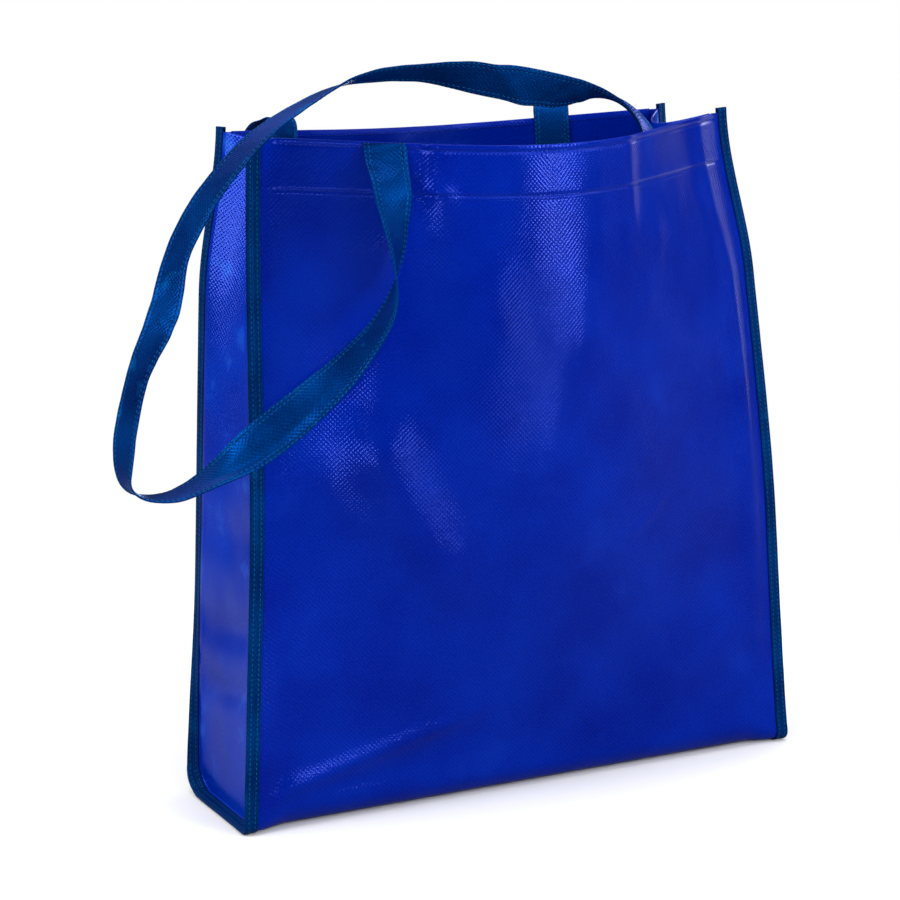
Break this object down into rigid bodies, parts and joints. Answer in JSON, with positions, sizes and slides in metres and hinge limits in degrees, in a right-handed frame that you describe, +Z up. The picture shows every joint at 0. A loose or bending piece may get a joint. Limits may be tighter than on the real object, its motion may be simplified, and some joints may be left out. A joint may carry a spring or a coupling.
{
  "type": "non-woven shopping bag",
  "caption": "Open flat-bottomed shopping bag of thin laminated cloth with side gussets, bound edges and long flat handles.",
  "frame": {"origin": "on the floor, under the middle of the flat base", "axes": "+X towards the bag's right side seen from its front, +Y towards its back, +Z up"},
  "size_m": [0.4449, 0.2473, 0.4504],
  "materials": {
    "laminated_sheet": "royal blue non-woven cloth under a glossy film, with a fine embossed diagonal cross-hatch",
    "binding_tape": "dark teal-blue non-woven tape, folded over the edges and stitched in two rows",
    "strap_cloth": "dark teal-blue laminated non-woven strap with stitched edges"
  },
  "bodies": {
    "root": {"body_sheet": "laminated_sheet", "left_gusset": "laminated_sheet", "right_gusset": "laminated_sheet", "left_binding": "binding_tape", "right_binding": "binding_tape", "front_handle": "strap_cloth", "back_handle": "strap_cloth"}
  },
  "joints": []
}
